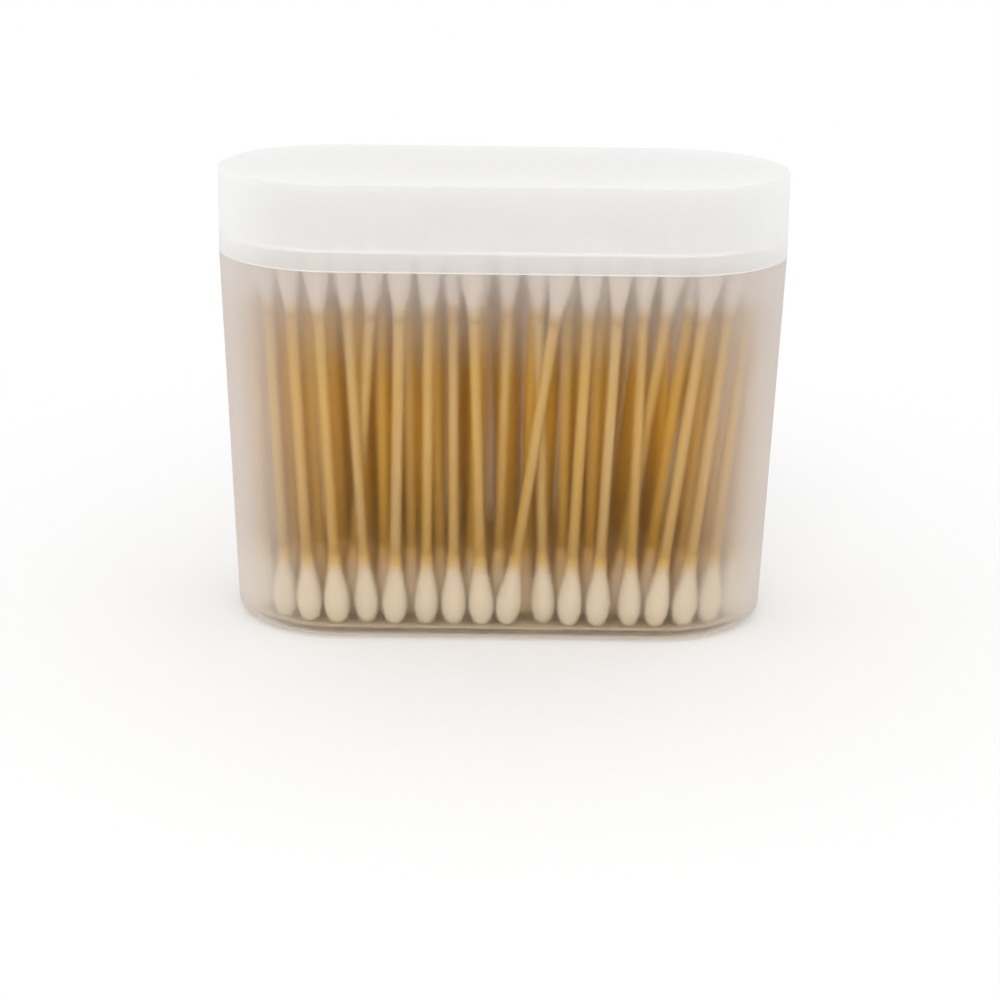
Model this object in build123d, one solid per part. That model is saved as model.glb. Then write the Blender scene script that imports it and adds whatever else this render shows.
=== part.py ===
from build123d import *
import math
import os
import numpy as np

# A cotton swab tub: a moulded obround tub, a push-on lid that sits flush with
# its wall, and the bamboo swabs that stand packed inside. Millimetres, +Z up.
# The origin is on the table under the middle of the tub, and the front faces -Y.

# Tub
STRAIGHT = 61.4          # straight run of the front and back, between the round ends
LEDGE_RADIUS = 23.6      # outside radius of the round ends at the ledge that carries the lid
TUB_TAPER = 2.2          # how much they narrow from there to the table
RIM_DROP = 0.3           # how far the swabs stand out above the neck's rim
NECK_HEIGHT = 3.9        # how far the neck stands up inside the lid
NECK_WALL = 0.8          # at the foot of the neck
FLOOR = 1.4
FOOT_ROUND = 2.0         # radius of the foot's outside edge
FOOT_RING = 4.5          # width of the ring that the tub stands on, rounded edge included
FOOT_RECESS = 0.5        # hollow under the floor inside that ring

# Lid
HEADROOM = 10.4          # from the swabs to the roof
LID_TAPER = 0.2          # how much the round ends narrow from the ledge to the roof
LID_WALL = 0.8
LID_ROOF = 1.2
LID_ROUND = 0.6          # radius of the roof's outside edge
LID_FIT = 0.2            # sliding clearance between the skirt and the neck
EDGE_FLATS = 2           # flats that draw each of those rounded edges

# Swab: a stick with a spun cotton tip on each end
SWAB_LENGTH = 75.0
STICK_DIAMETER = 2.3
TIP_DIAMETER = 5.2       # at the belly
TIP_LENGTH = 14.5        # from the crown to where the stick comes out
TIP_BELLY = 4.5          # from the crown to the widest place
TIP_CROWN = 3.0          # diameter of the flattened end
TIP_NECK = 2.5           # diameter where the cotton runs out on the stick
FACETS = 5               # sides of the flat-faced solids that stand in for round ones

# How the swabs stand in the tub
SWAB_GAP = 0.12          # least air between neighbours and to the wall
SWAB_SEAT = 0.05         # air under the lowest corner of a tip
PACK_SLACK = 0.35        # spare room for each swab along its row
ROW_NEST = 0.7           # how far each row sinks between the swabs of the next
FRONT_START = -17.5      # first foot of the front row, from the left end of the straight run
SETBACK = 2.0            # how far an upright swab starts behind one that crosses it
LEAN_SPREAD = 1.0        # how far the tops of the other rows stray along their row
LEAN_SEED = 5
SETTLE_ROUNDS = 400      # times that the swabs are nudged apart
# How far each top leans to the right of its foot, from the left, in the two front rows
ROW_LEANS = (
    (0.0, -0.2, -0.4, -0.7, -0.7, 4.2, 0.2, -0.6, -5.6, 9.0, -0.8, 1.3, -0.3, -0.6, 7.5, 8.5, 8.0, 6.0),
    (0.0, 0.0, 0.0, 7.7, 2.0, 0.5, 0.0, 0.0, 1.2, 0.5, 0.0, 0.3, 7.4, 7.5, 7.0, 6.0),
)

# Sizes that follow from those above
RIM_HEIGHT = FLOOR + SWAB_LENGTH - RIM_DROP
LEDGE_HEIGHT = RIM_HEIGHT - NECK_HEIGHT
TOTAL_HEIGHT = FLOOR + SWAB_LENGTH + HEADROOM + LID_ROOF
TUB_WALL = NECK_WALL + LID_FIT + LID_WALL
FOOT_RADIUS = LEDGE_RADIUS - TUB_TAPER
DRAFT = TUB_TAPER / LEDGE_HEIGHT
LID_DRAFT = LID_TAPER / (TOTAL_HEIGHT - LEDGE_HEIGHT)
TIP_RADIUS = TIP_DIAMETER / 2
SWAB_REACH = SWAB_LENGTH - 2 * TIP_BELLY    # from belly to belly
LOW_BELLY = FLOOR + TIP_BELLY               # height of the lower bellies
SWAB_PITCH = TIP_DIAMETER + PACK_SLACK
ROW_PITCH = SWAB_PITCH - ROW_NEST


def obround(radius):
    """A slot outline with the tub's straight run and round ends of this radius."""
    return SlotOverall(STRAIGHT + 2 * radius, 2 * radius)


def obround_loft(*levels):
    """A block through levels, each a height and the radius of the round ends there."""
    return loft([Pos(0, 0, height) * obround(radius) for height, radius in levels], ruled=True)


def rounded_edge(radius):
    """Corners of a rounded edge, from the wall on: distance from the end face, and inset."""
    turns = [math.pi / 2 * step / EDGE_FLATS for step in range(EDGE_FLATS + 1)]
    return [(radius * (1 - math.sin(turn)), radius * (1 - math.cos(turn))) for turn in turns]


def outside_radius(height):
    """Radius of the tub's round ends at a height above the table."""
    return FOOT_RADIUS + DRAFT * height


def inside_radius(height):
    """Radius of the hollow's round ends at a height above the table."""
    return outside_radius(height) - TUB_WALL


def lid_radius(height):
    """Radius of the lid's round ends at a height above the table."""
    return LEDGE_RADIUS - LID_DRAFT * (height - LEDGE_HEIGHT)


def make_tub():
    """The tub: drafted wall, foot ring, ledge for the lid and the neck above it."""
    foot = [(rise, outside_radius(rise) - inset) for rise, inset in rounded_edge(FOOT_ROUND)]
    body = obround_loft(*reversed(foot), (LEDGE_HEIGHT, LEDGE_RADIUS))
    neck_radius = LEDGE_RADIUS - LID_WALL - LID_FIT
    neck = obround_loft((LEDGE_HEIGHT, neck_radius), (RIM_HEIGHT, neck_radius))
    hollow = obround_loft((FLOOR, inside_radius(FLOOR)), (RIM_HEIGHT, inside_radius(RIM_HEIGHT)))
    recess = extrude(obround(FOOT_RADIUS - FOOT_RING), FOOT_RECESS)
    return body + neck - hollow - recess


def make_lid():
    """The lid: a shallow cap whose skirt stands on the ledge, around the neck."""
    edge = [(TOTAL_HEIGHT - drop, lid_radius(TOTAL_HEIGHT - drop) - inset)
            for drop, inset in rounded_edge(LID_ROUND)]
    cap = obround_loft((LEDGE_HEIGHT, LEDGE_RADIUS), *edge)
    roof = TOTAL_HEIGHT - LID_ROOF
    hollow = obround_loft((LEDGE_HEIGHT, LEDGE_RADIUS - LID_WALL), (roof, lid_radius(roof) - LID_WALL))
    return cap - hollow


def facet_cone(low_diameter, high_diameter, height):
    """A flat-faced cone on the origin that narrows upwards, between two corner diameters."""
    shrink = (low_diameter - high_diameter) / 2 * math.cos(math.pi / FACETS)
    taper = math.degrees(math.atan2(shrink, height))
    return extrude(RegularPolygon(low_diameter / 2, FACETS), height, taper=taper)


def make_tip():
    """A cotton tip with its crown on the origin and its neck upwards."""
    neck_side = facet_cone(TIP_DIAMETER, TIP_NECK, TIP_LENGTH - TIP_BELLY)
    crown_side = Rot(180, 0, 0) * facet_cone(TIP_DIAMETER, TIP_CROWN, TIP_BELLY)
    return Pos(0, 0, TIP_BELLY) * (neck_side + crown_side)


def make_stick():
    """The bare length of a stick, between the necks of its two tips."""
    bare = SWAB_LENGTH - 2 * TIP_LENGTH
    return extrude(Pos(0, 0, TIP_LENGTH) * RegularPolygon(STICK_DIAMETER / 2, FACETS), bare)


def row_length(radius):
    """Length of a closed row that runs round the tub at this end radius."""
    return 2 * STRAIGHT + 2 * math.pi * radius


def row_point(radius, along):
    """Point on such a row, counted from the left end of the front, to the right."""
    along = along % row_length(radius)
    half = row_length(radius) / 2
    side = 1 if along < half else -1
    along = along % half
    if along < STRAIGHT:
        return np.array([side * (along - STRAIGHT / 2), -side * radius])
    turn = (along - STRAIGHT) / radius
    return side * np.array([STRAIGHT / 2 + radius * math.sin(turn), -radius * math.cos(turn)])


def row_leans(row, count, chance):
    """Lean of each swab in a row: as listed where it shows, and by chance elsewhere."""
    leans = chance.normal(0, LEAN_SPREAD, count)
    if row < len(ROW_LEANS):
        shown = ROW_LEANS[row][:count]
        leans[:len(shown)] = shown
    return leans


def first_places():
    """Places of the lower and upper bellies, in rows from the wall inwards."""
    chance = np.random.default_rng(LEAN_SEED)
    feet = []
    heads = []
    row = 0
    foot_radius = inside_radius(LOW_BELLY) - TIP_RADIUS - SWAB_GAP
    widening = DRAFT * SWAB_REACH
    while foot_radius > ROW_PITCH / 2:
        foot_row = row_length(foot_radius)
        stretch = row_length(foot_radius + widening) / foot_row
        count = int(foot_row // SWAB_PITCH)
        leans = row_leans(row, count, chance)
        for index, lean in enumerate(leans):
            along = FRONT_START + SWAB_PITCH / 2 * row + foot_row * index / count
            head_along = STRAIGHT / 2 + (along - STRAIGHT / 2) * stretch + lean
            beside = max(abs(leans[index - 1]), abs(leans[(index + 1) % count]))
            crossed = abs(lean) < SWAB_PITCH / 2 < beside
            place = foot_radius - (SETBACK if crossed else 0)
            feet.append(row_point(place, along))
            heads.append(row_point(place + widening, head_along))
        foot_radius -= ROW_PITCH
        row += 1
    return np.array(feet), np.array(heads)


def swab_levels():
    """Levels of a swab, as shares of its reach from belly to belly, and its radius there."""
    cone = TIP_LENGTH - TIP_BELLY
    slope = (TIP_DIAMETER - TIP_NECK) / 2 / cone
    tip = [(-TIP_BELLY, TIP_CROWN / 2)]
    tip += [(rise, TIP_RADIUS - slope * rise) for rise in np.linspace(0, cone, 4)]
    lower = [(rise / SWAB_REACH, radius) for rise, radius in tip]
    upper = [(1 - share, radius) for share, radius in lower]
    bare = np.linspace(cone, SWAB_REACH - cone, 9)[1:-1] / SWAB_REACH
    return lower + upper + [(share, STICK_DIAMETER / 2) for share in bare]


def near_pairs(feet, heads):
    """Index pairs of the swabs that stand near enough to meet."""
    reach = 3 * TIP_DIAMETER
    near = np.linalg.norm(feet[:, None] - feet[None], axis=2) < reach
    near |= np.linalg.norm(heads[:, None] - heads[None], axis=2) < reach
    return np.nonzero(np.triu(near, 1))


def keep_inside(points, radius):
    """The points, with those outside an obround of this end radius moved onto it."""
    spine = np.clip(points[:, 0], -STRAIGHT / 2, STRAIGHT / 2)
    arm = points - np.stack([spine, np.zeros(len(points))], axis=1)
    reach = np.maximum(np.linalg.norm(arm, axis=1), 1e-9)
    return points + arm * (np.minimum(1.0, radius / reach) - 1)[:, None]


def settle(feet, heads):
    """Nudge the swabs apart at every level, while they grow to size, until none touches."""
    levels = swab_levels()
    one, other = near_pairs(feet, heads)
    for turn in range(SETTLE_ROUNDS):
        grown = min(1.0, 0.5 + turn / SETTLE_ROUNDS)
        for share, radius in levels:
            at = feet + (heads - feet) * share
            apart = at[one] - at[other]
            distance = np.maximum(np.linalg.norm(apart, axis=1), 1e-9)
            short = np.maximum(0, grown * (2 * radius + SWAB_GAP) - distance)
            push = apart * (short / distance / 2)[:, None]
            moved = at.copy()
            np.add.at(moved, one, push)
            np.subtract.at(moved, other, push)
            room = inside_radius(LOW_BELLY + share * SWAB_REACH) - radius - SWAB_GAP
            nudge = (keep_inside(moved, room) - at) / ((1 - share) ** 2 + share ** 2)
            feet = feet + nudge * (1 - share)
            heads = heads + nudge * share
    return feet, heads


def swab_places():
    """Where each swab stands: the frame at its lower crown, along its stick."""
    places = []
    for foot, head in zip(*settle(*first_places())):
        shift = head - foot
        axis = Vector(*shift, math.sqrt(SWAB_REACH ** 2 - shift @ shift)).normalized()
        tilt = math.hypot(axis.X, axis.Y)
        crown_height = FLOOR + SWAB_SEAT + TIP_CROWN / 2 * tilt
        crown = Vector(*(foot - TIP_BELLY * shift / SWAB_REACH), crown_height)
        places.append(Plane(crown, x_dir=(1, 0, 0), z_dir=axis).location)
    return places


def make_swabs():
    """All sticks and all tips, each a separate solid, as two groups."""
    stick = make_stick().solid()
    lower_tip = make_tip().solid()
    upper_tip = (Pos(0, 0, SWAB_LENGTH) * Rot(180, 0, 0) * make_tip()).solid()
    places = swab_places()
    sticks = [stick.moved(place) for place in places]
    tips = [tip.moved(place) for place in places for tip in (lower_tip, upper_tip)]
    return Compound(sticks), Compound(tips)


sticks, tips = make_swabs()
nodes = {"tub": make_tub(), "lid": make_lid(), "swab_sticks": sticks, "swab_tips": tips}

os.makedirs("parts", exist_ok=True)
for name, shape in nodes.items():
    export_step(shape, f"parts/{name}.step", write_pcurves=False)
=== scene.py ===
"""Looks of the cotton swab tub: frosted shells, bamboo sticks, cotton tips and a plain stage."""

import math
from collections import namedtuple

import bmesh
import bpy
import numpy as np
from mathutils import Matrix, Vector


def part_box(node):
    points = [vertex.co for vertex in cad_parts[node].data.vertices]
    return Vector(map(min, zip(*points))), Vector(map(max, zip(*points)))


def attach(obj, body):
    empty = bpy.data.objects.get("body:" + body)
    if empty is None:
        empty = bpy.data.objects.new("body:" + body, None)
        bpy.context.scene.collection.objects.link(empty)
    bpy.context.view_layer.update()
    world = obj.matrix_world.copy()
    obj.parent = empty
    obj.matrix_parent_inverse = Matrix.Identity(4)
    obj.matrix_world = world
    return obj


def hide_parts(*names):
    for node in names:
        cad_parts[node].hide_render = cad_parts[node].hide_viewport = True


bl_info = {
    "name": "Cotton Swab Tub",
    "version": (1, 0, 0),
    "blender": (4, 5, 0),
    "location": "View3D > Sidebar > Swab Tub",
    "description": "Dresses the cotton swab tub: frosted shells, bamboo sticks and cotton tips",
    "category": "Object",
}

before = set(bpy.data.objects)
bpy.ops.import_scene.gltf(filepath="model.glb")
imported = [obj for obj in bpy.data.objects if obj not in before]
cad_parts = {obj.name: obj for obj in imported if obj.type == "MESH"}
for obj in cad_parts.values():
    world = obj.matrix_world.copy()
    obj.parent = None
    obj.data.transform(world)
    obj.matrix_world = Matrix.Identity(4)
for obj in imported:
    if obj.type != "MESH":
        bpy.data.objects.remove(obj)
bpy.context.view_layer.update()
TUB_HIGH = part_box("tub")[1]
LID_LOW, LID_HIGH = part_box("lid")
LID_SIZE = LID_HIGH - LID_LOW

MM = 0.001
WHITE = (1.0, 1.0, 1.0, 1.0)


# Settings that a user can change in the sidebar

def number_prop(name, description, default, **limits):
    """A plain number."""
    return bpy.props.FloatProperty(name=name, description=description, default=default, **limits)


def length_prop(name, description, default):
    """A size in metres."""
    return number_prop(name, description, default, min=0.0, precision=5, unit="LENGTH")


def share_prop(name, description, default):
    """A share between nothing and all."""
    return number_prop(name, description, default, min=0.0, max=1.0, subtype="FACTOR")


def colour_prop(name, description, default):
    """A linear colour."""
    return bpy.props.FloatVectorProperty(
        name=name, description=description, default=default, size=3, min=0.0, max=1.0, subtype="COLOR"
    )


class ShellSettings(bpy.types.PropertyGroup):
    """Sizes and finish of the tub and its lid."""

    ledge_radius: length_prop("Ledge radius", "Round ends at the ledge", LID_SIZE.y / 2)
    tub_taper: length_prop("Tub taper", "How much the ends narrow from the ledge to the table", 2.2 * MM)
    lid_taper: length_prop("Lid taper", "How much the ends narrow from the ledge to the roof", 0.2 * MM)
    floor: length_prop("Floor", "Thickness of the tub's floor", 1.4 * MM)
    foot_ring: length_prop("Foot ring", "Width of the ring that the tub stands on", 4.5 * MM)
    foot_recess: length_prop("Foot recess", "Hollow under the floor", 0.5 * MM)
    tub_wall: length_prop("Tub wall", "Thickness of the tub's wall", 1.8 * MM)
    lid_wall: length_prop("Lid wall", "Thickness of the lid's skirt", 0.8 * MM)
    lid_roof: length_prop("Lid roof", "Thickness of the lid's roof", 1.2 * MM)
    lid_fit: length_prop("Lid fit", "Clearance between the skirt and the neck", 0.2 * MM)
    foot_round: length_prop("Foot edge", "Radius of the foot's outside edge", 2.0 * MM)
    roof_round: length_prop("Roof edge", "Radius of the roof's outside edge", 0.6 * MM)
    inside_round: length_prop("Inside corner", "Radius where wall and floor meet inside", 1.2 * MM)
    edge_round: length_prop("Fine edges", "Radius of the edges of rim, ledge and skirt", 0.2 * MM)
    rim_line: length_prop("Rim line", "Height of the bright line along the neck's rim", 0.6 * MM)
    tub_colour: colour_prop("Tub colour", "Tint of the tub's plastic", (0.93, 0.865, 0.81))
    # Painted warm light: the tub's tint turns warmer towards its foot, in place of amber light thrown back
    # by the bamboo
    tub_foot_painted_warmth: colour_prop("Tub foot colour", "Warmer tint near the tub's foot", (0.94, 0.855, 0.72))
    tub_shade: colour_prop("Tub shade", "Tint of the light that one face lets in", (0.95, 0.916, 0.886))
    tub_frosting: share_prop("Tub frosting", "Roughness of the tub's plastic", 0.32)
    tub_bend: number_prop("Tub bend", "How strongly the tub's plastic bends light", 1.3, min=1.0, max=2.0)
    tub_haze: colour_prop("Tub haze", "Colour of the tub's plastic seen aslant", (0.94, 0.905, 0.885))
    tub_milk: share_prop("Tub milkiness", "Share of haze in the tub's plastic seen head on", 0.0)
    tub_veil: share_prop("Tub veil", "Share of haze in the tub's plastic by the ledge", 0.2)
    tub_light: share_prop("Tub haze light", "Share of the tub's haze that throws light back", 0.5)
    lid_colour: colour_prop("Lid colour", "Tint of the lid's plastic", (0.975, 0.975, 0.972))
    lid_shade: colour_prop("Lid shade", "Tint of the light that one face lets in", (0.995, 0.995, 0.995))
    lid_frosting: share_prop("Lid frosting", "Roughness of the lid's plastic", 0.72)
    lid_bend: number_prop("Lid bend", "How strongly the lid's plastic bends light", 1.2, min=1.0, max=2.0)
    lid_haze: colour_prop("Lid haze", "Colour of the lid's plastic seen aslant", (0.955, 0.955, 0.95))
    lid_milk: share_prop("Lid milkiness", "Share of haze in the lid's plastic seen head on", 0.32)
    lid_light: share_prop("Lid haze light", "Share of the lid's haze that throws light back", 0.65)
    edge_haze: colour_prop("Edge colour", "Colour of the edges that gather light", (0.97, 0.95, 0.93))
    edge_milk: share_prop("Edge milkiness", "Share of haze in those edges", 0.8)
    edge_light: share_prop("Edge light", "Share of the edges' haze that throws light back", 0.9)


class SwabSettings(bpy.types.PropertyGroup):
    """Sizes and colours of the swabs."""

    stick_diameter: length_prop("Stick diameter", "Thickness of a bamboo stick", 2.3 * MM)
    stick_in_tip: length_prop("Stick in tip", "How far a stick runs into its cotton", 3.0 * MM)
    tip_diameter: length_prop("Tip diameter", "Cotton tip at its widest", 5.2 * MM)
    tip_length: length_prop("Tip length", "Cotton tip from crown to neck", 14.5 * MM)
    tip_rough: length_prop("Cotton unevenness", "How far the cotton's surface wanders", 0.07 * MM)
    bamboo_light: colour_prop("Light bamboo", "Pale streaks of the sticks", (0.75, 0.60, 0.32))
    bamboo_dark: colour_prop("Dark bamboo", "Dark streaks of the sticks", (0.75, 0.48, 0.07))
    # Painted shade: sticks deeper in the bundle turn amber in place of the shade and the light thrown back
    # among them
    bamboo_painted_amber_shade: colour_prop("Bamboo within", "Amber of the sticks inside the bundle", (0.88, 0.53, 0.04))
    cotton_colour: colour_prop("Cotton", "Colour of the spun cotton", (0.85, 0.84, 0.83))
    # Painted shade: lower tips deeper in the bundle turn amber in place of the shade and bamboo-coloured
    # light that reach them
    cotton_painted_amber_shade: colour_prop("Cotton within", "Lower tips inside the bundle", (0.74, 0.49, 0.17))
    seed: bpy.props.IntProperty(
        name="Seed", description="Chance turn, girth and tint of each swab", default=7, min=0
    )


class StageSettings(bpy.types.PropertyGroup):
    """Floor, light and camera."""

    floor_colour: colour_prop("Floor", "Colour of the floor near the tub", (0.94, 0.94, 0.94))
    sky_light: number_prop("Sky light", "Strength of the light from all around", 1.0, min=0.0)
    key_power: number_prop("Key lamp", "Power of the large soft lamp", 2.4, min=0.0, unit="POWER")
    camera_height: length_prop("Camera height", "Height of the camera above the tub's foot", 157.4 * MM)
    camera_distance: length_prop("Camera distance", "How far in front of the tub it stands", 411.0 * MM)
    camera_pitch: number_prop(
        "Camera pitch", "How far the camera looks down", math.radians(18.33), subtype="ANGLE"
    )
    camera_roll: number_prop(
        "Camera roll", "How far the camera is turned on its axis", math.radians(0.72), subtype="ANGLE"
    )
    camera_lens: number_prop("Camera lens", "Focal length in millimetres", 78.3, min=1.0)


# Small helpers for objects and node trees

def add_object(name, data):
    """An object at the origin."""
    made = bpy.data.objects.new(name, data)
    bpy.context.scene.collection.objects.link(made)
    return made


def new_material(name):
    """An empty node material and its tree with an output node."""
    material = bpy.data.materials.new(name)
    material.use_nodes = True
    tree = material.node_tree
    tree.nodes.clear()
    output = add_node(tree, "ShaderNodeOutputMaterial")
    return material, tree, output


def add_node(tree, kind, inputs=None, **settings):
    """A node with its settings, and its inputs as constants or as links from other sockets."""
    made = tree.nodes.new(kind)
    for key, value in settings.items():
        setattr(made, key, value)
    for key, value in (inputs or {}).items():
        if isinstance(value, bpy.types.NodeSocket):
            tree.links.new(value, made.inputs[key])
        else:
            made.inputs[key].default_value = value
    return made


def add_sockets(tree, direction, kinds):
    """Sockets of a node group, named, each of its kind."""
    for name, kind in kinds.items():
        tree.interface.new_socket(name, in_out=direction, socket_type=f"NodeSocket{kind}")


def math_node(tree, operation, first, second=0.0, third=0.0):
    """The value of a sum, product or other calculation."""
    return add_node(tree, "ShaderNodeMath", {0: first, 1: second, 2: third}, operation=operation).outputs[0]


def smooth_step(tree, value, start, end, low=0.0, high=1.0):
    """A value that passes smoothly from low to high while another goes from start to end."""
    return add_node(tree, "ShaderNodeMapRange", {
        "Value": value, "From Min": start, "From Max": end, "To Min": low, "To Max": high,
    }, interpolation_type="SMOOTHSTEP").outputs[0]


def noise(tree, place, scale, detail, roughness=0.5):
    """Soft chance values."""
    return add_node(tree, "ShaderNodeTexNoise", {
        "Vector": place, "Scale": scale, "Detail": detail, "Roughness": roughness,
    }).outputs[0]


def bump(tree, strength, depth, height):
    """Normals of a fine relief."""
    return add_node(tree, "ShaderNodeBump", {
        "Strength": strength, "Distance": depth, "Height": height,
    }).outputs[0]


def mix_number(tree, share, first, second):
    """A number between two."""
    return add_node(tree, "ShaderNodeMix", {0: share, 2: first, 3: second}, data_type="FLOAT").outputs[0]


def mix_colour(tree, share, first, second):
    """A colour between two."""
    return add_node(tree, "ShaderNodeMix", {0: share, 6: first, 7: second}, data_type="RGBA").outputs[2]


def mix_shader(tree, share, first, second):
    """A surface between two."""
    return add_node(tree, "ShaderNodeMixShader", {0: share, 1: first, 2: second}).outputs[0]


def rgba(colour, share=1.0):
    """A colour, or a darker shade of it, as nodes take it."""
    return (*[share * part for part in colour], 1.0)


# Tub and lid

ARC_STEPS = 40
STRAIGHT_STEPS = 8
EDGE_STEPS = 5
SUPPORT = 0.25 * MM
SAME_POINT = 1e-6
EMPTY_EDGE = 1e-7

Corner = namedtuple("Corner", "radius height rounding edge", defaults=(0.0, False))


def rounded_section(corners):
    """Points of a section through its corners, and for each whether an edge face follows."""
    points = []
    edges = []
    for index, corner in enumerate(corners):
        here = Vector((corner.radius, corner.height))
        if not corner.rounding:
            points.append(here)
            edges.append(corner.edge)
            continue
        before = corners[index - 1]
        after = corners[index + 1]
        back = (Vector((before.radius, before.height)) - here).normalized()
        ahead = (Vector((after.radius, after.height)) - here).normalized()
        half = back.angle(ahead) / 2
        reach = corner.rounding / math.tan(half)
        centre = here + (back + ahead).normalized() * corner.rounding / math.sin(half)
        start = here + back * reach - centre
        turn = start.angle_signed(here + ahead * reach - centre)
        points.append(here + back * (reach + SUPPORT))
        for step in range(EDGE_STEPS + 1):
            points.append(centre + Matrix.Rotation(-turn * step / EDGE_STEPS, 2) @ start)
        points.append(here + ahead * (reach + SUPPORT))
        edges.extend([before.edge] * (EDGE_STEPS // 2 + 1))
        edges.extend([corner.edge] * (len(points) - len(edges)))
    return points, edges


def obround_spokes(straight):
    """Foot and direction of each spoke round an obround, from its straight spine outwards."""
    half = straight / 2
    spokes = []
    for side in (1, -1):
        for step in range(ARC_STEPS):
            turn = math.pi * step / ARC_STEPS
            spokes.append((side * half, side * math.sin(turn), -side * math.cos(turn)))
        for step in range(STRAIGHT_STEPS):
            spokes.append((side * (half - straight * step / STRAIGHT_STEPS), 0.0, float(side)))
    return spokes


def shell_mesh(name, corners, straight):
    """A closed moulding: a rounded wall section carried round an obround."""
    section, edges = rounded_section(corners)
    spokes = obround_spokes(straight)
    count = len(spokes)
    points = [
        (foot + point.x * across, point.x * deep, point.y)
        for point in section
        for foot, across, deep in spokes
    ]
    faces = [
        (row * count + spoke, row * count + (spoke + 1) % count,
         (row + 1) * count + (spoke + 1) % count, (row + 1) * count + spoke)
        for row in range(len(section) - 1)
        for spoke in range(count)
    ]
    mesh = bpy.data.meshes.new(name)
    mesh.from_pydata(points, [], faces)
    mesh.polygons.foreach_set("material_index", np.repeat(edges[:-1], count).astype(np.int32))
    work = bmesh.new()
    work.from_mesh(mesh)
    bmesh.ops.remove_doubles(work, verts=work.verts, dist=SAME_POINT)
    bmesh.ops.dissolve_degenerate(work, edges=work.edges, dist=EMPTY_EDGE)
    bmesh.ops.recalc_face_normals(work, faces=work.faces)
    for face in work.faces:
        face.smooth = True
    work.to_mesh(mesh)
    work.free()
    return mesh


def tub_corners(sizes):
    """Corners of the tub's section, from the middle of its underside to the middle of its floor."""
    ledge = LID_LOW.z
    rim = TUB_HIGH.z
    foot = sizes.ledge_radius - sizes.tub_taper
    draft = sizes.tub_taper / ledge
    ring = foot - sizes.foot_ring
    neck = sizes.ledge_radius - sizes.lid_wall - sizes.lid_fit
    fine = sizes.edge_round
    return [
        Corner(0.0, sizes.foot_recess),
        Corner(ring, sizes.foot_recess, fine),
        Corner(ring, 0.0, fine),
        Corner(foot, 0.0, sizes.foot_round),
        Corner(sizes.ledge_radius, ledge, fine, edge=True),
        Corner(neck, ledge, fine),
        Corner(neck, rim - sizes.rim_line, edge=True),
        Corner(neck, rim, fine, edge=True),
        Corner(foot + draft * rim - sizes.tub_wall, rim, fine),
        Corner(foot + draft * sizes.floor - sizes.tub_wall, sizes.floor, sizes.inside_round),
        Corner(0.0, sizes.floor),
    ]


def lid_corners(sizes):
    """Corners of the lid's section, from the middle of its roof to the middle of its ceiling."""
    ledge = LID_LOW.z
    top = LID_HIGH.z
    ceiling = top - sizes.lid_roof
    outside = sizes.ledge_radius - sizes.lid_taper
    lean = sizes.lid_taper / (top - ledge)
    inside = sizes.ledge_radius - sizes.lid_wall
    fine = sizes.edge_round
    return [
        Corner(0.0, top),
        Corner(outside, top, sizes.roof_round),
        Corner(sizes.ledge_radius, ledge, fine, edge=True),
        Corner(inside, ledge, fine),
        Corner(inside - lean * (ceiling - ledge), ceiling, sizes.roof_round / 2),
        Corner(0.0, ceiling),
    ]


# Slow swings and fine grain of the frosting
FLOW_SCALE = 55.0
FLOW_DETAIL = 3.0
FLOW_RELIEF = 0.6
GRIT_SCALE = 2600.0
GRIT_DETAIL = 2.0
GRIT_ROUGHNESS = 0.6
GRIT_RELIEF = 0.4
LEAST_FROSTING = 0.9
FROSTING_SWING = 0.2


def frost_group():
    """Frosting of moulded plastic: a slightly uneven roughness, a soft relief and a faint tint."""
    found = bpy.data.node_groups.get("moulded_frost")
    if found:
        return found
    tree = bpy.data.node_groups.new("moulded_frost", "ShaderNodeTree")
    add_sockets(tree, "INPUT", {
        "Coordinates": "Vector", "Frosting": "Float", "Colour": "Color", "Shade": "Color",
    })
    add_sockets(tree, "OUTPUT", {"Roughness": "Float", "Relief": "Float", "Tint": "Color"})
    given = add_node(tree, "NodeGroupInput").outputs
    flow = noise(tree, given["Coordinates"], FLOW_SCALE, FLOW_DETAIL)
    grit = noise(tree, given["Coordinates"], GRIT_SCALE, GRIT_DETAIL, GRIT_ROUGHNESS)
    swing = math_node(tree, "MULTIPLY_ADD", flow, FROSTING_SWING, LEAST_FROSTING)
    fine = math_node(tree, "MULTIPLY", grit, GRIT_RELIEF)
    add_node(tree, "NodeGroupOutput", {
        "Roughness": math_node(tree, "MULTIPLY", given["Frosting"], swing),
        "Relief": math_node(tree, "MULTIPLY_ADD", flow, FLOW_RELIEF, fine),
        "Tint": mix_colour(tree, flow, given["Shade"], given["Colour"]),
    })
    return tree


TINT_SHADE = 0.97
FROST_STRENGTH = 0.06
FROST_DEPTH = 0.1 * MM
GLASS_SHINE = (0.03, 0.03, 0.03)
HAZE_BLEND = 0.8
HAZE_POWER = 2.3
VEIL_DEPTH = 22 * MM
# Height up to which the painted warm light near the tub's foot reaches
PAINTED_WARMTH_HEIGHT = 42 * MM

Plastic = namedtuple("Plastic", "colour foot_colour shade frosting bend")
Haze = namedtuple("Haze", "colour milk veil light")


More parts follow.
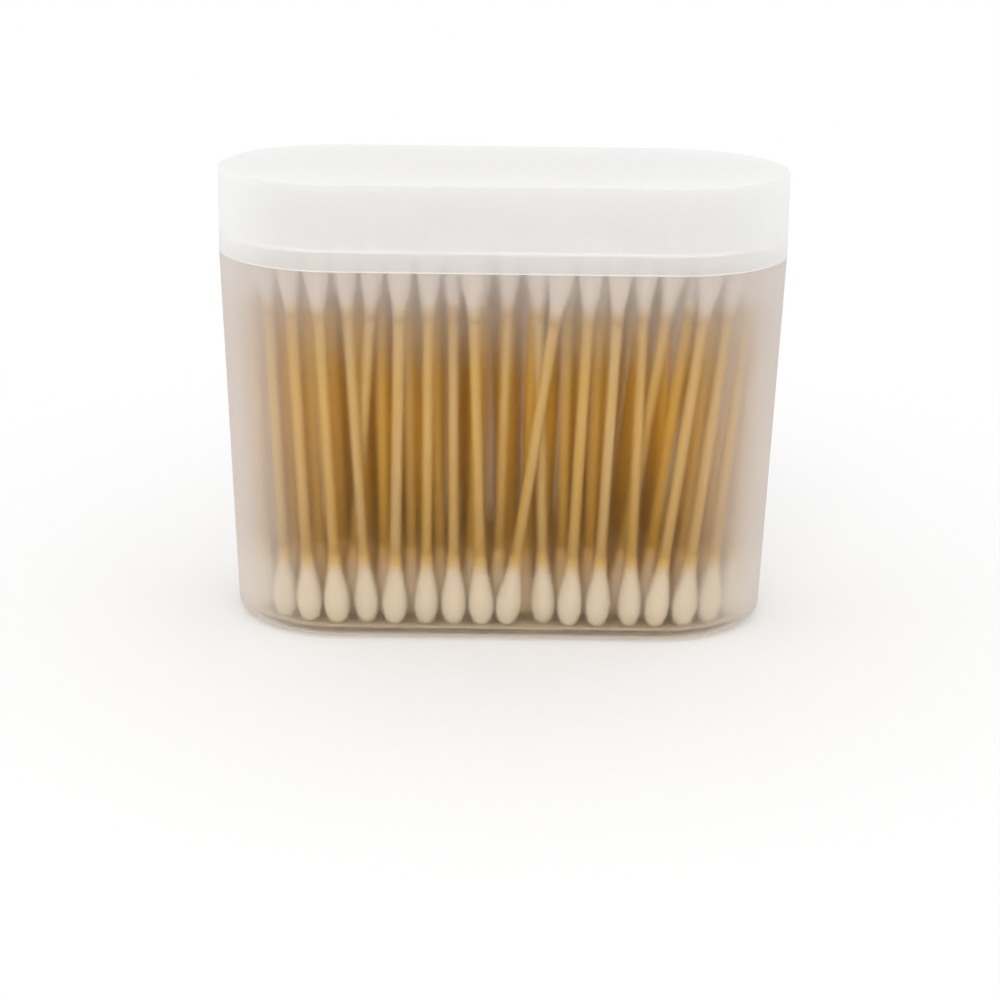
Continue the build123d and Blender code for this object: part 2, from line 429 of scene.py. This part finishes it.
def frosted_plastic(name, plastic, haze):
    """Frosted plastic: rough glass, milky where it is seen aslant, that lets lamps through."""
    material, tree, output = new_material(name)
    place = add_node(tree, "ShaderNodeTexCoord").outputs["Object"]
    height = add_node(tree, "ShaderNodeSeparateXYZ", {0: place}).outputs[2]
    frost = add_node(tree, "ShaderNodeGroup", {
        "Coordinates": place, "Frosting": plastic.frosting,
        "Colour": rgba(plastic.colour), "Shade": rgba(plastic.colour, TINT_SHADE),
    }, node_tree=frost_group()).outputs
    # Painted warm light: the tint turns warmer towards the foot, in place of amber light thrown back by the
    # bamboo
    low = smooth_step(tree, height, 0.0, PAINTED_WARMTH_HEIGHT, low=1.0, high=0.0)
    tint = mix_colour(tree, low, frost["Tint"], rgba(plastic.foot_colour))
    relief = bump(tree, FROST_STRENGTH, FROST_DEPTH, frost["Relief"])
    glass = add_node(tree, "ShaderNodeBsdfPrincipled", {
        "Base Color": tint, "Roughness": frost["Roughness"], "IOR": plastic.bend,
        "Specular Tint": rgba(GLASS_SHINE), "Transmission Weight": 1.0, "Normal": relief,
    }).outputs[0]
    milky = add_node(tree, "ShaderNodeBsdfTranslucent", {"Color": tint, "Normal": relief}).outputs[0]
    chalky = add_node(tree, "ShaderNodeBsdfDiffuse", {
        "Color": rgba(haze.colour), "Normal": relief,
    }).outputs[0]
    hazy = mix_shader(tree, haze.light, milky, chalky)
    aslant = add_node(tree, "ShaderNodeLayerWeight", {"Blend": HAZE_BLEND}).outputs["Facing"]
    slant_haze = math_node(tree, "POWER", aslant, HAZE_POWER)
    even_haze = smooth_step(tree, height, LID_LOW.z - VEIL_DEPTH, LID_LOW.z, low=haze.milk, high=haze.veil)
    either_haze = mix_number(tree, slant_haze, even_haze, 1.0)
    body = mix_shader(tree, either_haze, glass, hazy)
    clear = add_node(tree, "ShaderNodeBsdfTransparent", {"Color": rgba(plastic.shade)}).outputs[0]
    shadow = add_node(tree, "ShaderNodeLightPath").outputs["Is Shadow Ray"]
    tree.links.new(mix_shader(tree, shadow, body, clear), output.inputs["Surface"])
    return material


def moulding(name, edge_name, corners, sizes, plastic, haze):
    """A moulding of frosted plastic whose edges gather light."""
    straight = LID_SIZE.x - 2 * sizes.ledge_radius
    made = add_object(name, shell_mesh(name, corners, straight))
    edges = Haze(sizes.edge_haze, sizes.edge_milk, sizes.edge_milk, sizes.edge_light)
    made.data.materials.append(frosted_plastic(name, plastic, haze))
    made.data.materials.append(frosted_plastic(edge_name, plastic, edges))
    return made


# Swabs

GRID = 1e-6
SORT_DIGITS = 4


def stick_places():
    """Middle, upward direction and half length of each bare stick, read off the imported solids."""
    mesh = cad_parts["swab_sticks"].data
    corners = np.zeros(len(mesh.vertices) * 3)
    mesh.vertices.foreach_get("co", corners)
    keys = [tuple(key) for key in np.round(corners.reshape(-1, 3) / GRID).astype(int)]
    first = {}
    owner = list(range(len(keys)))

    def root(index):
        """The corner that stands for all corners of the same stick."""
        while owner[index] != index:
            owner[index] = owner[owner[index]]
            index = owner[index]
        return index

    for index, key in enumerate(keys):
        owner[root(index)] = root(first.setdefault(key, index))
    for polygon in mesh.polygons:
        for vertex in polygon.vertices[1:]:
            owner[root(vertex)] = root(polygon.vertices[0])
    sticks = {}
    for index, key in enumerate(keys):
        sticks.setdefault(root(index), set()).add(key)
    places = []
    for members in sticks.values():
        cloud = np.array(sorted(members)) * GRID
        middle = cloud.mean(axis=0)
        axis = np.linalg.svd(cloud - middle)[2][0]
        axis = axis * np.sign(axis[2])
        places.append((middle, axis, np.max((cloud - middle) @ axis)))
    return sorted(places, key=lambda place: tuple(np.round(place[0], SORT_DIGITS)))


def places_mesh(name, points, axes):
    """Loose points that carry the direction in which each piece stands."""
    mesh = bpy.data.meshes.new(name)
    mesh.from_pydata([tuple(point) for point in points], [], [])
    attribute = mesh.attributes.new("axis", "FLOAT_VECTOR", "POINT")
    attribute.data.foreach_set("vector", np.array(axes, dtype=np.float32).ravel())
    return mesh


STICK_SIDES = 9
STICK_THINNEST = 0.9
TIP_SIDES = 10
TIP_RINGS = 6
TIP_CROWDING = 1.5
TIP_THINNEST = 0.94
TIP_SEED_STEP = 10

# Share of the tip's length from its crown, and share of its widest radius there
TIP_PROFILE = (
    (0.0, 0.26), (0.03, 0.52), (0.09, 0.76), (0.18, 0.93), (0.31, 1.0),
    (0.45, 0.91), (0.65, 0.68), (0.82, 0.50), (1.0, 0.455),
)


def stick_form(tree, given):
    """One stick of few sides, centred on the origin."""
    return add_node(tree, "GeometryNodeMeshCylinder", {
        "Vertices": STICK_SIDES, "Side Segments": 1,
        "Radius": math_node(tree, "MULTIPLY", given["Diameter"], 0.5), "Depth": given["Length"],
    }, fill_type="NGON").outputs["Mesh"]


def tip_form(tree, given):
    """One cotton tip with its crown on the origin: a tube drawn in by a smooth profile."""
    tube = add_node(tree, "GeometryNodeMeshCylinder", {
        "Vertices": TIP_SIDES, "Side Segments": TIP_RINGS, "Radius": 1.0, "Depth": 1.0,
    }, fill_type="NGON").outputs["Mesh"]
    position = add_node(tree, "GeometryNodeInputPosition").outputs[0]
    spot = add_node(tree, "ShaderNodeSeparateXYZ", {0: position}).outputs
    rise = math_node(tree, "POWER", math_node(tree, "ADD", spot[2], 0.5), TIP_CROWDING)
    profile = add_node(tree, "ShaderNodeFloatCurve", {"Value": rise})
    curve = profile.mapping.curves[0]
    curve.points[0].location = TIP_PROFILE[0]
    curve.points[-1].location = TIP_PROFILE[-1]
    for point in TIP_PROFILE[1:-1]:
        curve.points.new(*point)
    for point in curve.points:
        point.handle_type = "AUTO_CLAMPED"
    profile.mapping.update()
    radius = math_node(tree, "MULTIPLY", given["Diameter"], 0.5)
    reach = math_node(tree, "MULTIPLY", profile.outputs[0], radius)
    shaped = add_node(tree, "ShaderNodeCombineXYZ", {
        0: math_node(tree, "MULTIPLY", spot[0], reach),
        1: math_node(tree, "MULTIPLY", spot[1], reach),
        2: math_node(tree, "MULTIPLY", rise, given["Length"]),
    }).outputs[0]
    return add_node(tree, "GeometryNodeSetPosition", {"Geometry": tube, "Position": shaped}).outputs[0]


# Chance draws of each swab, told apart by their seeds
ROLL_DRAW = 0.0
GIRTH_DRAW = 1.0
TINT_DRAW = 2.0

WANDER_SCALE = 420.0
WANDER_DETAIL = 1.0
WANDER_MIDDLE = 0.6


def chance_draw(tree, given, draw, kind, limits):
    """A chance value for each swab, between limits."""
    inputs = {**limits, "Seed": math_node(tree, "ADD", given["Seed"], draw)}
    return add_node(tree, "FunctionNodeRandomValue", inputs, data_type=kind).outputs["Value"]


def stand_on_places(tree, given, form):
    """The form on every place, along that place's direction, with a roll and a girth of its own."""
    axis = add_node(tree, "GeometryNodeInputNamedAttribute", {"Name": "axis"}, data_type="FLOAT_VECTOR")
    upright = add_node(tree, "FunctionNodeAlignRotationToVector", {"Vector": axis.outputs[0]}, axis="Z")
    roll = chance_draw(tree, given, ROLL_DRAW, "FLOAT_VECTOR", {"Max": (0.0, 0.0, 2 * math.pi)})
    spin = add_node(tree, "FunctionNodeEulerToRotation", {0: roll})
    turned = add_node(tree, "FunctionNodeRotateRotation", {
        "Rotation": upright.outputs[0], "Rotate By": spin.outputs[0],
    }, rotation_space="LOCAL")
    thin = add_node(tree, "ShaderNodeCombineXYZ", {0: given["Thinnest"], 1: given["Thinnest"], 2: 1.0})
    girth = chance_draw(tree, given, GIRTH_DRAW, "FLOAT_VECTOR", {
        "Min": thin.outputs[0], "Max": (1.0, 1.0, 1.0),
    })
    return add_node(tree, "GeometryNodeInstanceOnPoints", {
        "Points": given["Places"], "Instance": form, "Rotation": turned.outputs[0], "Scale": girth,
    }).outputs[0]


def roughened(tree, given, geometry):
    """The geometry with its surface moved in and out a little."""
    position = add_node(tree, "GeometryNodeInputPosition").outputs[0]
    wander = noise(tree, position, WANDER_SCALE, WANDER_DETAIL)
    drift = math_node(tree, "SUBTRACT", wander, WANDER_MIDDLE)
    outward = add_node(tree, "ShaderNodeVectorMath", {
        0: add_node(tree, "GeometryNodeInputNormal").outputs[0],
        "Scale": math_node(tree, "MULTIPLY", drift, given["Unevenness"]),
    }, operation="SCALE").outputs[0]
    return add_node(tree, "GeometryNodeSetPosition", {"Geometry": geometry, "Offset": outward}).outputs[0]


def swab_tree(name, form):
    """Node tree that stands one form on every place, turned, thinned and tinted by chance."""
    tree = bpy.data.node_groups.new(name, "GeometryNodeTree")
    add_sockets(tree, "INPUT", {
        "Places": "Geometry", "Diameter": "Float", "Length": "Float", "Unevenness": "Float",
        "Thinnest": "Float", "Seed": "Int", "Material": "Material",
    })
    add_sockets(tree, "OUTPUT", {"Swabs": "Geometry"})
    given = add_node(tree, "NodeGroupInput").outputs
    local = add_node(tree, "GeometryNodeStoreNamedAttribute", {
        "Geometry": form(tree, given), "Name": "local",
        "Value": add_node(tree, "GeometryNodeInputPosition").outputs[0],
    }, data_type="FLOAT_VECTOR", domain="POINT").outputs[0]
    tinted = add_node(tree, "GeometryNodeStoreNamedAttribute", {
        "Geometry": stand_on_places(tree, given, local), "Name": "chance",
        "Value": chance_draw(tree, given, TINT_DRAW, "FLOAT", {}),
    }, data_type="FLOAT", domain="INSTANCE").outputs[0]
    real = add_node(tree, "GeometryNodeRealizeInstances", {"Geometry": tinted}).outputs[0]
    uneven = roughened(tree, given, real)
    smooth = add_node(tree, "GeometryNodeSetShadeSmooth", {"Geometry": uneven}).outputs[0]
    dressed = add_node(tree, "GeometryNodeSetMaterial", {
        "Geometry": smooth, "Material": given["Material"],
    }).outputs[0]
    add_node(tree, "NodeGroupOutput", {"Swabs": dressed})
    return tree


def grow(name, places, tree, values):
    """Runs a node tree on the places and keeps its result as a plain mesh."""
    carrier = add_object(name, places)
    modifier = carrier.modifiers.new("layout", "NODES")
    modifier.node_group = tree
    for item in tree.interface.items_tree:
        if item.in_out == "INPUT" and item.name in values:
            modifier[item.identifier] = values[item.name]
    graph = bpy.context.evaluated_depsgraph_get()
    mesh = bpy.data.meshes.new_from_object(
        carrier.evaluated_get(graph), preserve_all_data_layers=True, depsgraph=graph
    )
    carrier.modifiers.clear()
    carrier.data = mesh
    mesh.name = name
    if not mesh.polygons:
        raise RuntimeError(f"{name} came out empty")
    return carrier


FIBRE_DETAIL = 4.0

SwabPoint = namedtuple("SwabPoint", "local shifted chance")


def swab_point(tree):
    """A point in its swab's own coordinates, the same shifted by chance, and the swab's chance number."""
    local = add_node(tree, "ShaderNodeAttribute", attribute_name="local").outputs["Vector"]
    chance = add_node(tree, "ShaderNodeAttribute", attribute_name="chance").outputs["Fac"]
    shift = add_node(tree, "ShaderNodeCombineXYZ", {0: chance, 1: chance, 2: chance}).outputs[0]
    shifted = add_node(tree, "ShaderNodeVectorMath", {0: local, 1: shift}, operation="ADD").outputs[0]
    return SwabPoint(local, shifted, chance)


def fibre_noise(tree, place, waves, roughness):
    """Noise drawn out into fibres, with so many waves in a metre along each axis."""
    drawn = add_node(tree, "ShaderNodeMapping", {"Vector": place, "Scale": waves}).outputs[0]
    return noise(tree, drawn, 1.0, FIBRE_DETAIL, roughness)


# Distances from the spine within which the painted amber shade of the bundle is full, and beyond which it
# is gone
INNER_ROWS = 10 * MM
OUTER_ROW = 17 * MM


def depth_group():
    """How deep a point lies in the bundle, nothing by the wall and one in the middle, and its height: the
    mask for the painted amber shade of the bundle.
    """
    found = bpy.data.node_groups.get("bundle_depth")
    if found:
        return found
    tree = bpy.data.node_groups.new("bundle_depth", "ShaderNodeTree")
    add_sockets(tree, "INPUT", {"Coordinates": "Vector"})
    add_sockets(tree, "OUTPUT", {"Depth": "Float", "Height": "Float"})
    given = add_node(tree, "NodeGroupInput").outputs
    spot = add_node(tree, "ShaderNodeSeparateXYZ", {0: given["Coordinates"]}).outputs
    half_spine = (LID_SIZE.x - LID_SIZE.y) / 2
    beyond = math_node(tree, "SUBTRACT", math_node(tree, "ABSOLUTE", spot[0]), half_spine)
    past_end = math_node(tree, "MAXIMUM", beyond, 0.0)
    flat = add_node(tree, "ShaderNodeCombineXYZ", {0: past_end, 1: spot[1]}).outputs[0]
    off_spine = add_node(tree, "ShaderNodeVectorMath", {0: flat}, operation="LENGTH").outputs["Value"]
    add_node(tree, "NodeGroupOutput", {
        "Depth": smooth_step(tree, off_spine, INNER_ROWS, OUTER_ROW, low=1.0, high=0.0),
        "Height": spot[2],
    })
    return tree


def in_bundle(tree):
    """The depth group in a material, fed with the tub's own coordinates."""
    place = add_node(tree, "ShaderNodeTexCoord").outputs["Object"]
    return add_node(tree, "ShaderNodeGroup", {"Coordinates": place}, node_tree=depth_group()).outputs


GRAIN_WAVES = (1800.0, 1800.0, 35.0)
GRAIN_ROUGHNESS = 0.6
GRAIN_STRENGTH = 0.25
GRAIN_DEPTH = 0.05 * MM
OWN_TINT = 0.18
DARK_STREAK = 0.25
LIGHT_STREAK = 0.72
BAMBOO_ROUGHNESS = 0.55


def bamboo_material(light, dark, painted_amber_shade):
    """Bare bamboo with fine straight grain, a tint of its own on each stick and painted amber shade deeper
    in the bundle.
    """
    material, tree, output = new_material("bare_bamboo")
    point = swab_point(tree)
    grain = fibre_noise(tree, point.shifted, GRAIN_WAVES, GRAIN_ROUGHNESS)
    own = math_node(tree, "MULTIPLY", math_node(tree, "SUBTRACT", point.chance, 0.5), OWN_TINT)
    streaks = add_node(tree, "ShaderNodeValToRGB", {0: math_node(tree, "ADD", grain, own)})
    low, high = streaks.color_ramp.elements
    low.position = DARK_STREAK
    low.color = rgba(dark)
    high.position = LIGHT_STREAK
    high.color = rgba(light)
    # The base colour turns to the painted amber shade deeper in the bundle
    wood = add_node(tree, "ShaderNodeBsdfPrincipled", {
        "Base Color": mix_colour(tree, in_bundle(tree)["Depth"], streaks.outputs[0], rgba(painted_amber_shade)),
        "Roughness": BAMBOO_ROUGHNESS,
        "Normal": bump(tree, GRAIN_STRENGTH, GRAIN_DEPTH, grain),
    })
    tree.links.new(wood.outputs[0], output.inputs["Surface"])
    return material


FIBRE_WAVES = (900.0, 900.0, 2600.0)
FIBRE_ROUGHNESS = 0.65
FIBRE_STRENGTH = 0.4
FIBRE_DEPTH = 0.15 * MM
COTTON_SHADE = 0.93
COTTON_ROUGHNESS = 0.95
SHEEN = 0.25
SHEEN_ROUGHNESS = 0.6

# Shares of the tip's length: how far the cotton frays, and where it thins out on the stick
FRAY = 0.1
THIN_FROM = 0.72
THIN_TO = 1.02


def cotton_material(colour, bamboo, painted_amber_shade, length):
    """Spun cotton with a soft fibre relief and a faint sheen, thin enough at its neck to show the stick,
    and painted amber shade on the lower tips deep in the bundle.
    """
    material, tree, output = new_material("spun_cotton")
    point = swab_point(tree)
    fibre = fibre_noise(tree, point.shifted, FIBRE_WAVES, FIBRE_ROUGHNESS)
    spun = mix_colour(tree, fibre, rgba(colour, COTTON_SHADE), rgba(colour))
    from_crown = add_node(tree, "ShaderNodeSeparateXYZ", {0: point.local}).outputs[2]
    frayed = math_node(tree, "MULTIPLY_ADD", fibre, FRAY * length, from_crown)
    thin = smooth_step(tree, frayed, THIN_FROM * length, THIN_TO * length)
    worn = mix_colour(tree, thin, spun, rgba(bamboo))
    # Painted shade: lower tips deeper in the bundle turn amber in place of the shade and the light thrown
    # back from the bamboo
    bundle = in_bundle(tree)
    lower = math_node(tree, "LESS_THAN", bundle["Height"], LID_LOW.z / 2)
    painted_shade_share = math_node(tree, "MULTIPLY", bundle["Depth"], lower)
    cotton = add_node(tree, "ShaderNodeBsdfPrincipled", {
        "Base Color": mix_colour(tree, painted_shade_share, worn, rgba(painted_amber_shade)),
        "Roughness": COTTON_ROUGHNESS,
        "Sheen Weight": SHEEN,
        "Sheen Roughness": SHEEN_ROUGHNESS,
        "Normal": bump(tree, FIBRE_STRENGTH, FIBRE_DEPTH, fibre),
    })
    tree.links.new(cotton.outputs[0], output.inputs["Surface"])
    return material


# Stage

FLOOR_SIZE = 6.0
FLOOR_DROP = 0.3 * MM
SHADOW_REACH = 0.09
WHITE_FROM = 0.22
LAMP_PLACE = (-0.12, -1.0, 0.6)
LAMP_AIM = (0.0, 0.0, 0.04)
LAMP_SIZE = 0.7
SENSOR_WIDTH = 36.0
NEAREST = 0.01


def seen(tree):
    """One where a surface is looked at, straight on, mirrored or through plastic, and else nothing."""
    paths = add_node(tree, "ShaderNodeLightPath").outputs
    indirectly = math_node(tree, "MAXIMUM", paths["Is Glossy Ray"], paths["Is Transmission Ray"])
    return math_node(tree, "MAXIMUM", paths["Is Camera Ray"], indirectly)


def floor_material(colour):
    """Pale floor that keeps the shadow near the tub and fades to white further off."""
    material, tree, output = new_material("pale_floor")
    place = add_node(tree, "ShaderNodeTexCoord").outputs["Object"]
    far = add_node(tree, "ShaderNodeVectorMath", {0: place}, operation="LENGTH").outputs["Value"]
    fade = smooth_step(tree, far, SHADOW_REACH, WHITE_FROM)
    matte = add_node(tree, "ShaderNodeBsdfDiffuse", {"Color": rgba(colour)}).outputs[0]
    white = add_node(tree, "ShaderNodeEmission", {"Color": WHITE, "Strength": 1.0}).outputs[0]
    share = math_node(tree, "MULTIPLY", fade, seen(tree))
    tree.links.new(mix_shader(tree, share, matte, white), output.inputs["Surface"])
    return material


def floor_mesh():
    """A large square just under the tub."""
    half = FLOOR_SIZE / 2
    mesh = bpy.data.meshes.new("floor")
    corners = [(-half, -half), (half, -half), (half, half), (-half, half)]
    mesh.from_pydata([(*corner, -FLOOR_DROP) for corner in corners], [], [(0, 1, 2, 3)])
    return mesh


def white_world(strength):
    """White surroundings that light the tub at a plain level."""
    world = bpy.data.worlds.new("white_room")
    world.use_nodes = True
    tree = world.node_tree
    tree.nodes.clear()
    level = mix_number(tree, seen(tree), strength, 1.0)
    sky = add_node(tree, "ShaderNodeBackground", {"Color": WHITE, "Strength": level})
    add_node(tree, "ShaderNodeOutputWorld", {"Surface": sky.outputs[0]})
    return world


def key_lamp(power):
    """A large square lamp that points at the tub."""
    light = bpy.data.lights.new("key_lamp", "AREA")
    light.energy = power
    light.size = LAMP_SIZE
    lamp = add_object("key_lamp", light)
    lamp.location = LAMP_PLACE
    lamp.rotation_euler = (Vector(LAMP_AIM) - lamp.location).to_track_quat("-Z", "Y").to_euler()


def front_camera(stage):
    """The camera in front of the tub, looking down on it."""
    lens = bpy.data.cameras.new("camera")
    lens.lens = stage.camera_lens
    lens.sensor_width = SENSOR_WIDTH
    lens.clip_start = NEAREST
    camera = add_object("camera", lens)
    place = Matrix.Translation((0.0, -stage.camera_distance, stage.camera_height))
    pitch = Matrix.Rotation(math.pi / 2 - stage.camera_pitch, 4, "X")
    roll = Matrix.Rotation(stage.camera_roll, 4, "Z")
    camera.matrix_world = place @ pitch @ roll
    return camera


# Operators

class SWABTUB_OT_tub(bpy.types.Operator):
    """Make the frosted tub"""

    bl_idname = "swab_tub.make_tub"
    bl_label = "Make Tub"

    def execute(self, context):
        sizes = context.scene.swab_tub_shell
        plastic = Plastic(
            sizes.tub_colour, sizes.tub_foot_painted_warmth, sizes.tub_shade, sizes.tub_frosting, sizes.tub_bend
        )
        haze = Haze(sizes.tub_haze, sizes.tub_milk, sizes.tub_veil, sizes.tub_light)
        tub = moulding("frosted_tub", "tub_edges", tub_corners(sizes), sizes, plastic, haze)
        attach(tub, "tub")
        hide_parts("tub")
        return {"FINISHED"}


class SWABTUB_OT_lid(bpy.types.Operator):
    """Make the frosted lid"""

    bl_idname = "swab_tub.make_lid"
    bl_label = "Make Lid"

    def execute(self, context):
        sizes = context.scene.swab_tub_shell
        plastic = Plastic(
            sizes.lid_colour, sizes.lid_colour, sizes.lid_shade, sizes.lid_frosting, sizes.lid_bend
        )
        haze = Haze(sizes.lid_haze, sizes.lid_milk, sizes.lid_milk, sizes.lid_light)
        lid = moulding("frosted_lid", "lid_edges", lid_corners(sizes), sizes, plastic, haze)
        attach(lid, "lid")
        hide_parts("lid")
        return {"FINISHED"}


class SWABTUB_OT_sticks(bpy.types.Operator):
    """Stand a bamboo stick in every swab"""

    bl_idname = "swab_tub.make_sticks"
    bl_label = "Make Sticks"

    def execute(self, context):
        swab = context.scene.swab_tub_swab
        middles, axes, halves = zip(*stick_places())
        layout = swab_tree("stick_layout", stick_form)
        sticks = grow("bamboo_sticks", places_mesh("stick_places", middles, axes), layout, {
            "Diameter": swab.stick_diameter,
            "Length": 2 * max(halves) + 2 * swab.stick_in_tip,
            "Unevenness": 0.0,
            "Thinnest": STICK_THINNEST,
            "Seed": swab.seed,
            "Material": bamboo_material(swab.bamboo_light, swab.bamboo_dark, swab.bamboo_painted_amber_shade),
        })
        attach(sticks, "tub")
        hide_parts("swab_sticks")
        return {"FINISHED"}


class SWABTUB_OT_tips(bpy.types.Operator):
    """Spin a cotton tip onto both ends of every stick"""

    bl_idname = "swab_tub.make_tips"
    bl_label = "Make Tips"

    def execute(self, context):
        swab = context.scene.swab_tub_swab
        crowns = []
        inward = []
        for middle, axis, half in stick_places():
            for end in (-1, 1):
                crowns.append(middle + end * axis * (half + swab.tip_length))
                inward.append(-end * axis)
        bamboo = [sum(pair) / 2 for pair in zip(swab.bamboo_light, swab.bamboo_dark)]
        layout = swab_tree("tip_layout", tip_form)
        tips = grow("cotton_tips", places_mesh("tip_places", crowns, inward), layout, {
            "Diameter": swab.tip_diameter,
            "Length": swab.tip_length,
            "Unevenness": 2 * swab.tip_rough,
            "Thinnest": TIP_THINNEST,
            "Seed": swab.seed + TIP_SEED_STEP,
            "Material": cotton_material(swab.cotton_colour, bamboo, swab.cotton_painted_amber_shade, swab.tip_length),
        })
        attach(tips, "tub")
        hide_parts("swab_tips")
        return {"FINISHED"}


class SWABTUB_OT_stage(bpy.types.Operator):
    """Set floor, light and camera"""

    bl_idname = "swab_tub.set_stage"
    bl_label = "Set Stage"

    def execute(self, context):
        scene = context.scene
        stage = scene.swab_tub_stage
        mesh = floor_mesh()
        mesh.materials.append(floor_material(stage.floor_colour))
        add_object("floor", mesh)
        scene.world = white_world(stage.sky_light)
        key_lamp(stage.key_power)
        scene.camera = front_camera(stage)
        scene.view_settings.view_transform = "Standard"
        return {"FINISHED"}


class SWABTUB_PT_panel(bpy.types.Panel):
    """Pieces, sizes and colours of the cotton swab tub"""

    bl_idname = "SWABTUB_PT_panel"
    bl_label = "Cotton Swab Tub"
    bl_space_type = "VIEW_3D"
    bl_region_type = "UI"
    bl_category = "Swab Tub"

    def draw(self, context):
        for operator in OPERATORS:
            self.layout.operator(operator.bl_idname)
        for name, group in SETTINGS.items():
            box = self.layout.box()
            for entry in group.__annotations__:
                box.prop(getattr(context.scene, name), entry)


OPERATORS = (SWABTUB_OT_tub, SWABTUB_OT_lid, SWABTUB_OT_sticks, SWABTUB_OT_tips, SWABTUB_OT_stage)
SETTINGS = {
    "swab_tub_shell": ShellSettings,
    "swab_tub_swab": SwabSettings,
    "swab_tub_stage": StageSettings,
}


def register():
    for group in SETTINGS.values():
        bpy.utils.register_class(group)
    for operator in OPERATORS:
        bpy.utils.register_class(operator)
    bpy.utils.register_class(SWABTUB_PT_panel)
    for name, group in SETTINGS.items():
        setattr(bpy.types.Scene, name, bpy.props.PointerProperty(type=group))


def unregister():
    for name in SETTINGS:
        delattr(bpy.types.Scene, name)
    bpy.utils.unregister_class(SWABTUB_PT_panel)
    for operator in OPERATORS:
        bpy.utils.unregister_class(operator)
    for group in SETTINGS.values():
        bpy.utils.unregister_class(group)


def main():
    register()
    bpy.ops.swab_tub.make_tub()
    bpy.ops.swab_tub.make_lid()
    bpy.ops.swab_tub.make_sticks()
    bpy.ops.swab_tub.make_tips()
    bpy.ops.swab_tub.set_stage()


if __name__ == "__main__":
    main()
